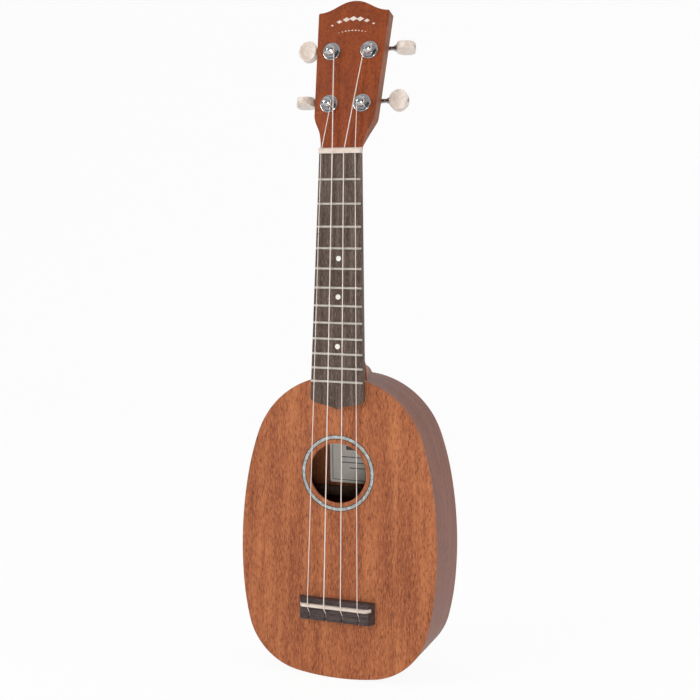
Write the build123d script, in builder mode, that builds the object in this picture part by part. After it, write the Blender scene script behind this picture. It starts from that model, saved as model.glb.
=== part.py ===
"""A soprano ukulele with four sealed geared tuners, as separate pieces.

Millimetres. The origin is the middle of the nut's edge on the face of the fretboard. +Z runs up the
neck to the headstock, +X is the treble side and +Y is the depth of the instrument, towards its back.
"""

import os
from math import asin, atan2, cos, degrees, hypot, pi, radians, sin, tan

from build123d import *

os.makedirs("parts", exist_ok=True)

# ---------------------------------------------------------------- driving dimensions
# Strings and scale
scale_length = 346.0            # nut to the octave and back again
fret_count = 12
dot_frets = (5, 7, 10)          # each dot lies behind the fret of this number
string_radii = {"g": 0.33, "c": 0.45, "e": 0.40, "a": 0.31}
nut_string_spacing = 9.1
nut_string_shift = -0.9         # the four slots sit a little to the bass side
saddle_string_spacing = 13.6
saddle_string_shift = 0.6
string_above_frets = 0.3        # at the nut

# Body
body_above_octave = 3.6         # the rim meets the neck this far above the twelfth fret
body_length = 236.1
body_half_width = 80.3
# Corners of the outline before rounding: in from the half width (minus is outside it), down from the
# top or up from the tail, and the radius that rounds each. The roundings meet, with no flats between.
shoulder = (28.9, 0.0, 68.7)
upper_side = (7.8, 62.4, 217.7)
waist = (-2.5, 121.2, 321.0)
lower_side = (3.0, 56.4, 206.9)
lower_corner = (15.1, 7.9, 51.9)
tail_corner = (63.9, 0.0, 190.0)
depth_at_neck = 52.3
depth_at_tail = 68.3
top_thickness = 2.0
back_thickness = 2.2
side_thickness = 2.0
top_edge_round = 0.8
back_edge_round = 0.9
lining_width = 5.0
lining_depth = 8.0

# Sound hole and rosette
hole_radius = 23.2
hole_below_rim = 74.8
rosette_outer_radius = 29.8
rosette_width = 3.5
rosette_line = 0.6
rosette_depth = 0.8

# Blocks, braces and label inside the body
neck_block_width = 50.0
neck_block_length = 22.0
tail_block_width = 46.0
tail_block_length = 14.0
brace_width = 7.0
top_brace_height = 9.0
brace_from_hole = 9.5           # from the hole's rim to the middle of the brace beside it
back_brace_height = 8.0
back_braces_below_rim = (36.6, 98.6, 165.6)
fan_brace_width = 4.0
fan_brace_height = 5.0
fan_spread = 24.0
bridge_plate_size = (84.0, 26.0, 1.5)
label_size = (58.0, 42.0)
label_thickness = 0.2
label_shift = 2.0
label_below_rim = 71.6
brace_clearance = 0.3

# Neck, heel and headstock
nut_width = 33.3
octave_width = 42.5             # width of the fretboard at the twelfth fret
fretboard_thickness = 4.0
fretboard_tail = 16.4           # straight sides past the start of the body
fretboard_tip = 8.6             # the pointed end, past the straight sides
neck_depth_at_nut = 13.2        # wood behind the fretboard
neck_depth_at_heel = 17.0
heel_foot_depth = 50.0          # behind the soundboard
heel_foot_half_width = 10.0
heel_foot_length = 6.5
head_tilt = 13.1
head_start = (3.0, 4.5)         # depth and height of the lower edge of the headstock's face
head_length = 117.4
head_thickness = 10.0
head_root_side = 1.0            # thickness left at the side of the headstock, beside the nut
head_root_carve = 6.0           # wood carved from each back corner there
head_carve_end = 24.0           # height where the carving runs out
head_shoulder_half_width = 24.4
head_shoulder_height = 26.5
head_corner_half_width = 28.8
head_crown_rise = 8.8
dowel_radius = 4.0
dowel_length = 18.0
dowel_start = 5.0               # into the heel, from the rim
dowel_depths = (17.0, 34.0)
dowel_clearance = 0.05

# Frets, nut, bridge and saddle
fret_radius = 1.0
fret_tang = (0.5, 1.6)
fret_end_gap = 0.4
dot_radius = 2.0
dot_depth = 1.5
nut_height = 1.6                # above the fretboard
bridge_half_base = 31.2
bridge_half_top = 27.8
bridge_height = 7.0
bridge_above_saddle = 5.3
bridge_below_saddle = 11.5
bridge_shift = 0.8
saddle_compensation = 1.7       # past the scale length
saddle_thickness = 2.6
saddle_height = 3.1             # above the bridge
saddle_slot_depth = 3.0
saddle_end_bevel = 2.6
slot_width = 1.3
slot_below_saddle = 3.7
knot_radius = 1.4
knot_bore_radius = 1.7
knot_depth = 3.6                # in front of the soundboard
knot_bore_length = 4.6
string_clearance = 0.04

# Tuners
upper_post = (15.2, 77.0)       # from the centre line, and up the headstock's face
lower_post = (13.3, 34.9)
post_radius = 3.0
post_waist_radius = 2.5
post_cap_radius = 3.15
post_cap_top = 7.7
post_waist = (3.3, 6.3)         # heights above the headstock's face
post_hole_radius = 0.7
post_hole_height = 5.65
running_clearance = 0.05
washer_radius = 7.0
washer_thickness = 0.9
bushing_flats = 10.0
bushing_height = 2.2
bushing_shank_radius = 4.0
shaft_rise = 6.3                # the button's shaft passes this far above the post
shaft_depth = 4.0               # and this far behind the back of the headstock
shaft_radius = 1.5
gear_teeth = 14
gear_pitch = 1.885
gear_face = 2.4
gear_outer_radius = 4.5
gear_root_radius = 3.3
gear_bore_radius = 2.0
tooth_thickness = 0.6
worm_outer_radius = 2.5
worm_root_radius = 1.6
worm_turns = 4
housing_wall = 1.2
housing_room = 0.4              # round the gears
cover_thickness = 1.0
bearing_length = 3.1
bearing_radius = 2.8
ear_length = 5.6
ear_half_width = 3.2
screw_radius = 1.0
screw_length = 8.0
screw_head = (1.8, 1.0)
button_start = 30.7             # from the centre line to the button's inner end
button_length = 14.6
button_width = 16.4
button_thickness = 7.3
button_dish = 0.9
ferrule_length = 3.0
ferrule_radius = 3.2

# ---------------------------------------------------------------- frame of reference
soundboard_face = fretboard_thickness
body_top = body_above_octave - scale_length / 2
body_tail = body_top - body_length
hole_height = body_top - hole_below_rim
saddle_line = -scale_length - saddle_compensation
bridge_top_edge = saddle_line + bridge_above_saddle
bridge_bottom_edge = saddle_line - bridge_below_saddle
head_root_half_width = nut_width / 2
back_drop = (depth_at_tail - depth_at_neck) / body_length
string_names = ("g", "c", "e", "a")


def seen_from_front(depth):
    """The plane parallel to the soundboard at this depth, with X across and Z up."""
    return Plane.XZ.offset(-depth)


def back_depth(height):
    """Depth of the outside of the back at this height."""
    return soundboard_face + depth_at_neck + (body_top - height) * back_drop


def back_plane(height, inset):
    """The plane of the back, this far inside its outer face, facing out, with X across."""
    tilt = atan2(back_drop, 1)
    outer = Plane((0, back_depth(height), height), x_dir=(1, 0, 0), z_dir=(0, cos(tilt), sin(tilt)))
    return outer.offset(-inset)


head = Plane(
    (0, *head_start),
    x_dir=(1, 0, 0),
    z_dir=(0, -cos(radians(head_tilt)), sin(radians(head_tilt))),
)


def on_head(x, up, above):
    """A point given across and up the headstock's face, and above it."""
    return head.from_local_coords((x, up, above))


def save(piece, label):
    piece.part.label = label
    export_step(piece.part, f"parts/{label}.step")


# ---------------------------------------------------------------- outline of the body
upper_corners = (shoulder, upper_side, waist)
lower_corners = (lower_side, lower_corner, tail_corner)
outline_corners = [(body_half_width - inward, body_top - down) for inward, down, _ in upper_corners]
outline_corners += [(body_half_width - inward, body_tail + up) for inward, up, _ in lower_corners]
outline_points = [Vector(0, body_top), *[Vector(*corner) for corner in outline_corners], Vector(0, body_tail)]
outline_radii = [corner[2] for corner in upper_corners + lower_corners]


def tangent_length(index):
    """How much of each run beside this corner its rounding takes."""
    before = outline_points[index] - outline_points[index - 1]
    after = outline_points[index + 1] - outline_points[index]
    return outline_radii[index - 1] * tan(radians(before.get_angle(after)) / 2)


taken = [0, *[tangent_length(index) for index in range(1, len(outline_points) - 1)], 0]
runs = [(b - a).length for a, b in zip(outline_points, outline_points[1:])]
room = min(run / (start + end) for run, start, end in zip(runs, taken, taken[1:]))
rounding = min(1, 0.995 * room)
corner_radii = [radius * rounding for radius in outline_radii]


def moved_in(index, inset):
    """A corner of the outline, or an end on the centre line, moved in from both runs that meet there."""
    last = len(outline_points) - 1
    ahead = outline_points[min(index + 1, last)] - outline_points[min(index, last - 1)]
    behind = outline_points[max(index, 1)] - outline_points[max(index - 1, 0)]
    inward = [Vector(run.Y, -run.X).normalized() for run in (behind, ahead)]
    return outline_points[index] + (inward[0] + inward[1]) * (inset / (1 + inward[0].dot(inward[1])))


def body_shape(inset):
    """The face of the body's outline, this far inside its edge."""
    points = [moved_in(index, inset) for index in range(len(outline_points))]
    with BuildSketch() as shape:
        with BuildLine():
            FilletPolyline(*points, radius=[radius - inset for radius in corner_radii])
            mirror(about=Plane.YZ)
        make_face()
    return shape.sketch


outer_shape = body_shape(0)
inner_shape = body_shape(side_thickness)
lined_shape = body_shape(side_thickness + lining_width)
inside_front = soundboard_face + top_thickness
past_back = back_depth(body_tail) + 10


def rim(outside, inside=None):
    """The space within one outline, or between two, from the soundboard to the back."""
    with BuildSketch(seen_from_front(inside_front)) as section:
        add(outside)
        if inside is not None:
            add(inside, mode=Mode.SUBTRACT)
    extrude(section.sketch, amount=-(past_back - inside_front))
    split(bisect_by=back_plane(body_top, back_thickness), keep=Keep.BOTTOM)


def dowel_pins(clearance):
    """The two pins that hold the neck, this much larger all round."""
    with BuildPart() as pins:
        with BuildSketch(Plane.XY.offset(body_top + dowel_start + clearance)):
            with Locations(*[(0, soundboard_face + depth) for depth in dowel_depths]):
                Circle(dowel_radius + clearance)
        extrude(amount=-dowel_length - 2 * clearance)
    return pins.part


dowels = dowel_pins(0)
dowel_bores = dowel_pins(dowel_clearance)


# ---------------------------------------------------------------- body shell
rosette_inner_radius = rosette_outer_radius - rosette_width

with BuildPart() as soundboard:
    with BuildSketch(seen_from_front(soundboard_face)):
        add(outer_shape)
    extrude(amount=-top_thickness)
    fillet(faces().sort_by(Axis.Y)[0].outer_wire().edges(), top_edge_round)
    with BuildSketch(seen_from_front(soundboard_face)):
        with Locations((0, hole_height)):
            Circle(hole_radius)
    extrude(amount=-top_thickness, mode=Mode.SUBTRACT)
    with BuildSketch(seen_from_front(soundboard_face)):
        with Locations((0, hole_height)):
            Circle(rosette_outer_radius)
            Circle(rosette_inner_radius, mode=Mode.SUBTRACT)
    extrude(amount=-rosette_depth, mode=Mode.SUBTRACT)
save(soundboard, "soundboard")

with BuildPart() as back_plate:
    with BuildSketch(seen_from_front(inside_front)):
        add(outer_shape)
    extrude(amount=-(past_back - inside_front))
    split(bisect_by=back_plane(body_top, 0), keep=Keep.BOTTOM)
    split(bisect_by=back_plane(body_top, back_thickness), keep=Keep.TOP)
    fillet(faces().sort_by(Axis.Y)[-1].outer_wire().edges(), back_edge_round)
save(back_plate, "back_plate")

for label, kept in (("side_left", Keep.BOTTOM), ("side_right", Keep.TOP)):
    with BuildPart() as side:
        rim(outer_shape, inner_shape)
        split(bisect_by=Plane.YZ, keep=kept)
        add(dowel_bores, mode=Mode.SUBTRACT)
    save(side, label)

# Blocks that the rim is glued to, at the neck and at the tail.
block_ends = {
    "neck": (neck_block_width, body_top - side_thickness - neck_block_length, body_top),
    "tail": (tail_block_width, body_tail, body_tail + side_thickness + tail_block_length),
}


def block_room(end, mode):
    """A box as wide and as high as the block, through the whole depth of the body."""
    width, low, high = block_ends[end]
    with Locations((0, past_back / 2, (low + high) / 2)):
        Box(width, past_back, high - low, mode=mode)


with BuildPart() as neck_block:
    rim(inner_shape)
    block_room("neck", Mode.INTERSECT)
    add(dowel_bores, mode=Mode.SUBTRACT)
save(neck_block, "neck_block")

with BuildPart() as tail_block:
    rim(inner_shape)
    block_room("tail", Mode.INTERSECT)
save(tail_block, "tail_block")

with BuildPart() as neck_dowels:
    add(dowels)
save(neck_dowels, "neck_dowels")

# Linings widen the glue line of the rim, in front and behind, between the blocks.
with BuildPart() as top_linings:
    with BuildSketch(seen_from_front(inside_front)):
        add(inner_shape)
        add(lined_shape, mode=Mode.SUBTRACT)
    extrude(amount=-lining_depth)
    block_room("neck", Mode.SUBTRACT)
    block_room("tail", Mode.SUBTRACT)
save(top_linings, "top_linings")

with BuildPart() as back_linings:
    rim(inner_shape, lined_shape)
    split(bisect_by=back_plane(body_top, back_thickness + lining_depth), keep=Keep.TOP)
    block_room("neck", Mode.SUBTRACT)
    block_room("tail", Mode.SUBTRACT)
save(back_linings, "back_linings")


# ---------------------------------------------------------------- bars under the soundboard and back
def inner_half_width(height):
    """Half the room between the linings over the width of a brace."""
    strip = Pos(0, height) * Rectangle(4 * body_half_width, brace_width + 2)
    return min(edge.length for edge in (strip & lined_shape).edges().filter_by(Axis.X)) / 2 - brace_clearance


def bar_across(plane, half_length, width, tall):
    """A brace with sloping ends, standing on the plane along its X direction."""
    slope = 2.5 * tall
    with BuildSketch(Plane(plane.origin, x_dir=plane.x_dir, z_dir=plane.y_dir)) as section:
        rise = -tall if plane.z_dir.dot(Vector(0, 1, 0)) * plane.y_dir.Z > 0 else tall
        with BuildLine():
            Polyline(
                (-half_length, 0),
                (-half_length, rise * 0.3),
                (-half_length + slope, rise),
                (half_length - slope, rise),
                (half_length, rise * 0.3),
                (half_length, 0),
                close=True,
            )
        make_face()
    extrude(section.sketch, amount=width / 2, both=True)


brace_offset = hole_radius + brace_from_hole
top_braces = (
    ("brace_above_hole", hole_height + brace_offset),
    ("brace_below_hole", hole_height - brace_offset),
)
for label, height in top_braces:
    reach = inner_half_width(height)
    with BuildPart() as brace:
        bar_across(Plane((0, inside_front, height), x_dir=(1, 0, 0), z_dir=(0, -1, 0)),
                   reach, brace_width, top_brace_height)
    save(brace, label)

back_brace_heights = [body_top - drop for drop in back_braces_below_rim]
back_reaches = [inner_half_width(height) for height in back_brace_heights]
with BuildPart() as back_braces:
    for height, reach in zip(back_brace_heights, back_reaches):
        bar_across(back_plane(height, back_thickness), reach, brace_width, back_brace_height)
save(back_braces, "back_braces")

with BuildPart() as bridge_plate:
    with Locations((bridge_shift, inside_front, (bridge_top_edge + bridge_bottom_edge) / 2)):
        Box(bridge_plate_size[0], bridge_plate_size[2], bridge_plate_size[1],
            align=(Align.CENTER, Align.MIN, Align.CENTER))
    fillet(edges().filter_by(Axis.Y), 3)
save(bridge_plate, "bridge_plate")

# Three fan braces run from the brace below the hole towards the tail, over the bridge plate.
fan_top = hole_height - brace_offset - brace_width / 2 - brace_clearance
fan_bottom = body_tail + side_thickness + tail_block_length + brace_clearance + 2
with BuildPart() as fan_braces:
    for lean in (-1, 0, 1):
        with BuildSketch(seen_from_front(inside_front)):
            with BuildLine():
                top_x, bottom_x = lean * fan_spread * 0.6, lean * fan_spread
                Polyline(
                    (top_x - fan_brace_width / 2, fan_top),
                    (top_x + fan_brace_width / 2, fan_top),
                    (bottom_x + fan_brace_width / 2, fan_bottom),
                    (bottom_x - fan_brace_width / 2, fan_bottom),
                    close=True,
                )
            make_face()
        extrude(amount=-fan_brace_height)
    chamfer(edges().group_by(Axis.Y)[-1].filter_by(Axis.X), fan_brace_height * 0.7, fan_brace_height * 0.7)
    add(bridge_plate.part, mode=Mode.SUBTRACT)
save(fan_braces, "fan_braces")

with BuildPart() as label_sheet:
    with BuildSketch(back_plane(body_top - label_below_rim, back_thickness)):
        with Locations((label_shift, 0)):
            RectangleRounded(*label_size, 1.5)
    extrude(amount=-label_thickness)
save(label_sheet, "label")


# ---------------------------------------------------------------- rosette
def rosette_band(outer, inner):
    with BuildSketch(seen_from_front(soundboard_face)) as band:
        with Locations((0, hole_height)):
            Circle(outer)
            Circle(inner, mode=Mode.SUBTRACT)
    extrude(band.sketch, amount=-rosette_depth)


with BuildPart() as rosette_ring:
    rosette_band(rosette_outer_radius - rosette_line, rosette_inner_radius + rosette_line)
save(rosette_ring, "rosette_ring")

with BuildPart() as rosette_lines:
    rosette_band(rosette_outer_radius, rosette_outer_radius - rosette_line)
    rosette_band(rosette_inner_radius + rosette_line, rosette_inner_radius)
save(rosette_lines, "rosette_lines")

# ---------------------------------------------------------------- fretboard, frets and dots
widening = (octave_width - nut_width) / scale_length  # each side, per millimetre of neck
tip_start = body_top - fretboard_tail
tip_end = tip_start - fretboard_tip


def neck_half_width(height):
    return nut_width / 2 - height * widening


def fret_height(number):
    return -scale_length * (1 - 2 ** (-number / 12))


with BuildPart() as fretboard:
    with BuildSketch(seen_from_front(0)):
        with BuildLine():
            edge_x = neck_half_width(tip_start)
            Line((0, 0), (nut_width / 2, 0))
            Line((nut_width / 2, 0), (edge_x, tip_start))
            Spline(
                (edge_x, tip_start),
                (edge_x * 0.8, tip_start - fretboard_tip * 0.45),
                (edge_x * 0.36, tip_start - fretboard_tip * 0.68),
                (0, tip_end),
                tangents=[(-0.1, -1), (-1, -0.55)],
            )
            mirror(about=Plane.YZ)
        make_face()
    extrude(amount=-fretboard_thickness)
    for number in range(1, fret_count + 1):
        with Locations((0, 0, fret_height(number))):
            Box(2 * octave_width, 2 * fret_tang[1], fret_tang[0], mode=Mode.SUBTRACT)
    for number in dot_frets:
        middle = (fret_height(number) + fret_height(number - 1)) / 2
        with BuildSketch(seen_from_front(0)):
            with Locations((0, middle)):
                Circle(dot_radius)
        extrude(amount=-dot_depth, mode=Mode.SUBTRACT)
save(fretboard, "fretboard")

with BuildPart() as frets:
    for number in range(1, fret_count + 1):
        height = fret_height(number)
        with BuildSketch(Plane.YZ):
            with Locations((0, height)):
                Circle(fret_radius)
                Rectangle(2 * fret_radius, 2 * fret_radius, align=(Align.MIN, Align.CENTER),
                          mode=Mode.SUBTRACT)
                Rectangle(fret_tang[1], fret_tang[0], align=(Align.MIN, Align.CENTER))
        extrude(amount=neck_half_width(height) - fret_end_gap, both=True)
save(frets, "frets")

with BuildPart() as position_dots:
    for number in dot_frets:
        middle = (fret_height(number) + fret_height(number - 1)) / 2
        with BuildSketch(seen_from_front(0)):
            with Locations((0, middle)):
                Circle(dot_radius)
        extrude(amount=-dot_depth)
save(position_dots, "position_dots")


# ---------------------------------------------------------------- neck, heel and headstock
def neck_section(half, depth):
    """A flat front and a round back that curves in from its edges, in a sketch with Y to the back."""
    with BuildSketch() as section:
        with BuildLine():
            Line((-half, 0), (half, 0))
            ThreePointArc((half, 0), (0, depth), (-half, 0))
        make_face()
    return section.sketch


def across_neck(height):
    """The plane square to the neck at this height, with X across and local Y to the back."""
    return Plane((0, soundboard_face, height), x_dir=(1, 0, 0), z_dir=(0, 0, 1))


heel_start = body_top + 34.0
blend_up = 22.0
head_back = head.offset(-head_thickness)
post_places = {
    "g": (-lower_post[0], lower_post[1]),
    "c": (-upper_post[0], upper_post[1]),
    "e": upper_post,
    "a": lower_post,
}

def root_carving(side):
    """The plane that carves one back corner of the headstock down to the neck, facing out."""
    back = on_head(side * (head_root_half_width - head_root_carve), 0, -head_thickness)
    across = on_head(side * head_root_half_width, 0, -head_root_side) - back
    along = on_head(side * head_shoulder_half_width, head_carve_end, -head_thickness) - back
    return Plane(back, x_dir=along, z_dir=along.cross(across) * side)


with BuildPart() as headstock:
    with BuildSketch(head):
        with BuildLine():
            corner_height = head_length - head_crown_rise
            Line((0, 0), (head_root_half_width, 0))
            Spline(
                (head_root_half_width, 0),
                (head_root_half_width + 3.1, 0.53 * head_shoulder_height),
                (head_shoulder_half_width, head_shoulder_height),
                tangents=[(0.1, 1), (0.06, 1)],
            )
            Line((head_shoulder_half_width, head_shoulder_height),
                 (head_corner_half_width, corner_height - 0.8))
            Line((head_corner_half_width, corner_height - 0.8), (head_corner_half_width - 0.8, corner_height))
            Spline(
                (head_corner_half_width - 0.8, corner_height),
                (head_corner_half_width * 0.47, corner_height + head_crown_rise * 0.54),
                (0, head_length),
                tangents=[(-1, 0.04), (-1, 0)],
            )
            mirror(about=Plane.YZ)
        make_face()
    extrude(amount=-head_thickness)
    for side in (-1, 1):
        split(bisect_by=root_carving(side), keep=Keep.BOTTOM)

with BuildPart() as neck:
    # Shaft, from under the nut to the rim of the body.
    shaft_ends = (
        (0.0, nut_width / 2, neck_depth_at_nut),
        (body_top - 8, neck_half_width(body_top - 8), neck_depth_at_heel),
    )
    for height, half, depth in shaft_ends:
        with BuildSketch(across_neck(height)):
            add(neck_section(half, depth))
    loft()
    # The back of the shaft runs out into the back of the headstock.
    with BuildSketch(across_neck(0)):
        add(neck_section(nut_width / 2, neck_depth_at_nut))
    run_out = Plane(on_head(0, blend_up, -0.5), x_dir=(1, 0, 0), z_dir=head.y_dir)
    with BuildSketch(run_out):
        add(neck_section(head_root_half_width, head_thickness - 0.5))
    loft()
    # Heel: U-shaped levels that narrow and shorten towards the back.
    heel_levels = (
        (soundboard_face + 6, neck_half_width(body_top) - 0.6, heel_start - body_top),
        (soundboard_face + 17, neck_half_width(body_top) - 3.2, 20.0),
        (soundboard_face + 30, heel_foot_half_width + 4.0, 11.0),
        (soundboard_face + heel_foot_depth, heel_foot_half_width, heel_foot_length),
    )
    for depth, half, reach in heel_levels:
        with BuildSketch(seen_from_front(depth)):
            with BuildLine():
                level, low = body_top - 2, body_top - 12
                Polyline((-half, level), (-half, low), (half, low), (half, level))
                EllipticalCenterArc((0, level), half, reach + 2, start_angle=0, arc_size=180)
            make_face()
    loft()
    add(headstock.part)
    # The heel and the shaft end on the curve of the rim.
    with BuildSketch(seen_from_front(soundboard_face)):
        add(outer_shape)
    extrude(amount=-past_back, mode=Mode.SUBTRACT)
    # Seat of the nut.
    with Locations((0, soundboard_face, 0)):
        Box(2 * nut_width, 20, head_start[1], mode=Mode.SUBTRACT, align=(Align.CENTER, Align.MAX, Align.MIN))
    add(dowel_bores, mode=Mode.SUBTRACT)
    for x, up in post_places.values():
        with BuildSketch(head):
            with Locations((x, up)):
                Circle(bushing_shank_radius + running_clearance)
        extrude(amount=-head_thickness, mode=Mode.SUBTRACT)
        with BuildSketch(head_back):
            with Locations((x, up - gear_outer_radius - housing_room - housing_wall - ear_length / 2)):
                Circle(screw_radius)
        extrude(amount=screw_length - housing_wall, mode=Mode.SUBTRACT)
save(neck, "neck")

# ---------------------------------------------------------------- bridge and saddle
bridge_face = soundboard_face - bridge_height
saddle_floor = bridge_face + saddle_slot_depth
saddle_crown = bridge_face - saddle_height
crown_round = saddle_thickness / 2 - 0.1
knot_line = soundboard_face - knot_depth
string_order = dict(zip(string_names, (-1.5, -0.5, 0.5, 1.5)))


def saddle_x(name):
    return saddle_string_shift + string_order[name] * saddle_string_spacing


def nut_x(name):
    return nut_string_shift + string_order[name] * nut_string_spacing


with BuildPart() as bridge:
    with BuildSketch(Plane.XY.offset(bridge_bottom_edge)):
        with BuildLine():
            Polyline(
                (bridge_shift - bridge_half_base, soundboard_face),
                (bridge_shift - bridge_half_top, bridge_face),
                (bridge_shift + bridge_half_top, bridge_face),
                (bridge_shift + bridge_half_base, soundboard_face),
                close=True,
            )
        make_face()
    extrude(amount=bridge_top_edge - bridge_bottom_edge)
    fillet(faces().sort_by(Axis.Y)[0].edges(), 0.5)
    with Locations((bridge_shift, bridge_face, saddle_line)):
        Box(3 * bridge_half_base, 2 * saddle_slot_depth, saddle_thickness, mode=Mode.SUBTRACT)
    for name in string_names:
        with Locations((saddle_x(name), bridge_face, saddle_line - slot_below_saddle)):
            Box(slot_width, 2 * (knot_line - bridge_face), bridge_below_saddle - slot_below_saddle,
                mode=Mode.SUBTRACT, align=(Align.CENTER, Align.CENTER, Align.MAX))
        with BuildSketch(Plane.XY.offset(bridge_bottom_edge)):
            with Locations((saddle_x(name), knot_line)):
                Circle(knot_bore_radius)
        extrude(amount=knot_bore_length, mode=Mode.SUBTRACT)
save(bridge, "bridge")

with BuildPart() as saddle:
    with BuildSketch(Plane.XY.offset(saddle_line - saddle_thickness / 2)):
        slot_end = bridge_half_top + (bridge_half_base - bridge_half_top) * saddle_slot_depth / bridge_height
        with BuildLine():
            Polyline(
                (bridge_shift - slot_end, saddle_floor),
                (bridge_shift - bridge_half_top, bridge_face),
                (bridge_shift - bridge_half_top + saddle_end_bevel, saddle_crown),
                (bridge_shift + bridge_half_top - saddle_end_bevel, saddle_crown),
                (bridge_shift + bridge_half_top, bridge_face),
                (bridge_shift + slot_end, saddle_floor),
                close=True,
            )
        make_face()
    extrude(amount=saddle_thickness)
    fillet(faces().sort_by(Axis.Y)[0].edges().filter_by(Axis.X), crown_round)
save(saddle, "saddle")

# ---------------------------------------------------------------- strings
wrap_sweep = 300.0
corner_radius_at_nut = 8.0


def wrap_radius(name):
    return post_waist_radius + string_radii[name] + running_clearance


def wrap_height(name):
    return post_waist[0] + string_radii[name] + running_clearance


def nut_corner(name):
    """Where the string bends over the nut."""
    return Vector(nut_x(name), -fret_radius - string_above_frets - string_radii[name] - 0.05, 1.2)


def bend_over(centre, radius, below, beyond):
    """The corner of a path from one point to another that bends round this centre."""
    corner = centre
    for _ in range(6):
        back, on = (below - corner).normalized(), (beyond - corner).normalized()
        half_opening = radians(back.get_angle(on)) / 2
        corner = centre - (back + on).normalized() * (radius / sin(half_opening))
    return corner


def arrival(name):
    """Where the string touches its post: angle, direction of travel and turning sense."""
    x, up = post_places[name]
    turn = 1 if x < 0 else -1
    start = head.to_local_coords(nut_corner(name))
    reach = hypot(x - start.X, up - start.Y)
    towards = atan2(up - start.Y, x - start.X)
    travel = towards - turn * asin(wrap_radius(name) / reach)
    return travel - turn * pi / 2, travel, turn


def around_post(name, angle, radius, above):
    x, up = post_places[name]
    return on_head(x + radius * cos(angle), up + radius * sin(angle), above)


for name in string_names:
    radius = string_radii[name]
    touch, travel, turn = arrival(name)
    level = wrap_height(name)
    touch_point = around_post(name, touch, wrap_radius(name), level)
    levelled = touch_point - (head.x_dir * cos(travel) + head.y_dir * sin(travel)) * 8.0
    knot_height = bridge_bottom_edge + knot_bore_length - knot_radius - running_clearance
    knot = Vector(saddle_x(name), knot_line, knot_height)
    crown_wrap = crown_round + radius + string_clearance
    over_saddle = bend_over(Vector(saddle_x(name), saddle_crown + crown_round, saddle_line - 0.1),
                            crown_wrap, knot, nut_corner(name))
    middle_angle = touch + turn * radians(wrap_sweep / 2)
    last_angle = touch + turn * radians(wrap_sweep)
    with BuildPart() as string:
        with BuildLine() as route:
            FilletPolyline(
                knot,
                over_saddle,
                nut_corner(name),
                levelled,
                touch_point,
                radius=[crown_wrap, corner_radius_at_nut, 20.0],
            )
            ThreePointArc(
                touch_point,
                around_post(name, middle_angle, wrap_radius(name), level),
                around_post(name, last_angle, wrap_radius(name), level),
            )
        with BuildSketch(Plane(knot, z_dir=route.line % 0)):
            Circle(radius)
        sweep(path=route.line)
        with Locations(knot):
            Sphere(knot_radius)
    save(string, f"string_{name}")

with BuildPart() as nut:
    with Locations((0, soundboard_face, 0)):
        Box(nut_width, soundboard_face + nut_height, head_start[1],
            align=(Align.CENTER, Align.MAX, Align.MIN))
    crest = faces().sort_by(Axis.Y)[0].edges().filter_by(Axis.X).sort_by(Axis.Z)[-1]
    chamfer(crest, length=1.0, length2=2.6, reference=faces().sort_by(Axis.Y)[0])
    fillet(edges().filter_by(Axis.Y), 0.4)
    for name in string_names:
        slot_radius = string_radii[name] + string_clearance
        bend = nut_corner(name)
        touch, travel, turn = arrival(name)
        far = around_post(name, touch, wrap_radius(name), wrap_height(name))
        near = Vector(saddle_x(name), saddle_crown - string_radii[name], saddle_line)
        with BuildLine() as groove:
            FilletPolyline(
                bend + (near - bend).normalized() * 6,
                bend,
                bend + (far - bend).normalized() * 8,
                radius=corner_radius_at_nut,
            )
        with BuildSketch(Plane(groove.line @ 0, z_dir=groove.line % 0)):
            Circle(slot_radius)
        sweep(path=groove.line, mode=Mode.SUBTRACT)
save(nut, "nut")

# ---------------------------------------------------------------- tuners
shaft_line = -head_thickness - shaft_depth
cavity_side = worm_turns * gear_pitch / 2 + tooth_thickness + housing_room + 0.4
cavity_low = gear_outer_radius + housing_room
cavity_high = shaft_rise + worm_outer_radius + housing_room
cavity_back = shaft_line - worm_outer_radius - housing_room
thread_root = tooth_thickness * 1.5
thread_tip = tooth_thickness * 0.75


def tuner_plane(name, above):
    """The plane square to the post at this height above the headstock's face."""
    return Plane(on_head(*post_places[name], above), x_dir=(1, 0, 0), z_dir=head.z_dir)


def shaft_plane(name):
    """The plane square to the button's shaft, at its crossing with the post, facing out."""
    x, up = post_places[name]
    outward = 1 if x > 0 else -1
    return Plane(on_head(x, up + shaft_rise, shaft_line), x_dir=head.z_dir, z_dir=(outward, 0, 0))


def turned_section(points):
    """Half of a turned profile, as (along, radius) points, spun about the plane's local Z."""
    with BuildSketch() as section:
        with BuildLine():
            Polyline(*[(radius, along) for along, radius in points], close=True)
        make_face()
    return section.sketch


def spin_plane(plane):
    """The plane that holds the axis: local X is the radius and local Y runs along plane's Z."""
    return Plane(plane.origin, x_dir=plane.x_dir, z_dir=-plane.y_dir)


with BuildPart() as tuner_washers:
    for name in string_names:
        with BuildSketch(tuner_plane(name, 0)):
            Circle(washer_radius)
            Circle(bushing_shank_radius + running_clearance, mode=Mode.SUBTRACT)
        extrude(amount=washer_thickness)
    fillet(edges().filter_by(GeomType.CIRCLE).group_by(SortBy.RADIUS)[-1].group_by(Axis(head.origin, head.z_dir))[-1],
           0.5)
save(tuner_washers, "tuner_washers")

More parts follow.
